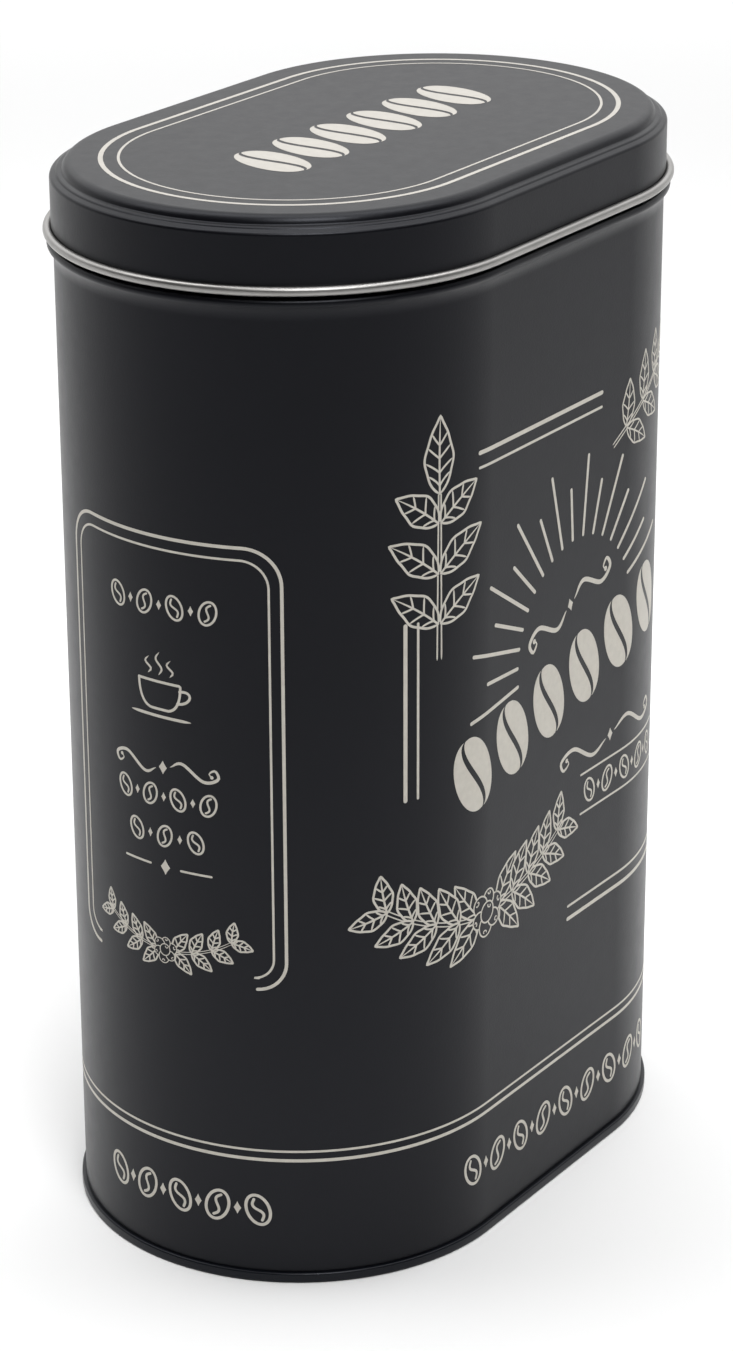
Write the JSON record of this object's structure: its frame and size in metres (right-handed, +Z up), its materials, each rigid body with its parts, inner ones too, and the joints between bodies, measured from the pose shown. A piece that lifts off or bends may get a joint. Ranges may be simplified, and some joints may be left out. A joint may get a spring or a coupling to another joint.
{
  "type": "coffee tin",
  "caption": "Tall oval tinplate coffee tin with a slip-on lid: rolled base rim, stop bead under the lid, bare rolled lid edge and a raised lid panel.",
  "frame": {"origin": "middle of the base, on the surface the tin stands on", "axes": "+Z up; the oval's long axis along X; the decorated main face toward -Y; the narrow end with the upright panel toward -X"},
  "size_m": [0.1366, 0.0896, 0.2062],
  "materials": {
    "painted_wall": "satin black printing lacquer outside, bare tinplate inside",
    "painted_rim": "gloss blue-black lacquer",
    "bare_tinplate": "bright bare tinplate"
  },
  "bodies": {
    "tin_body": {"body_wall": "painted_wall", "body_mouth_curl": "bare_tinplate", "side_seam": "painted_wall", "base_seam_rim": "painted_rim", "base_panel": "bare_tinplate"},
    "lid": {"lid_shell": "painted_wall", "lid_curl": "bare_tinplate"}
  },
  "joints": [
    {"name": "lid_lift", "type": "slide", "parent": "tin_body", "child": "lid", "axis": [0, 0, 1], "range_m": [0, 0.12]}
  ]
}
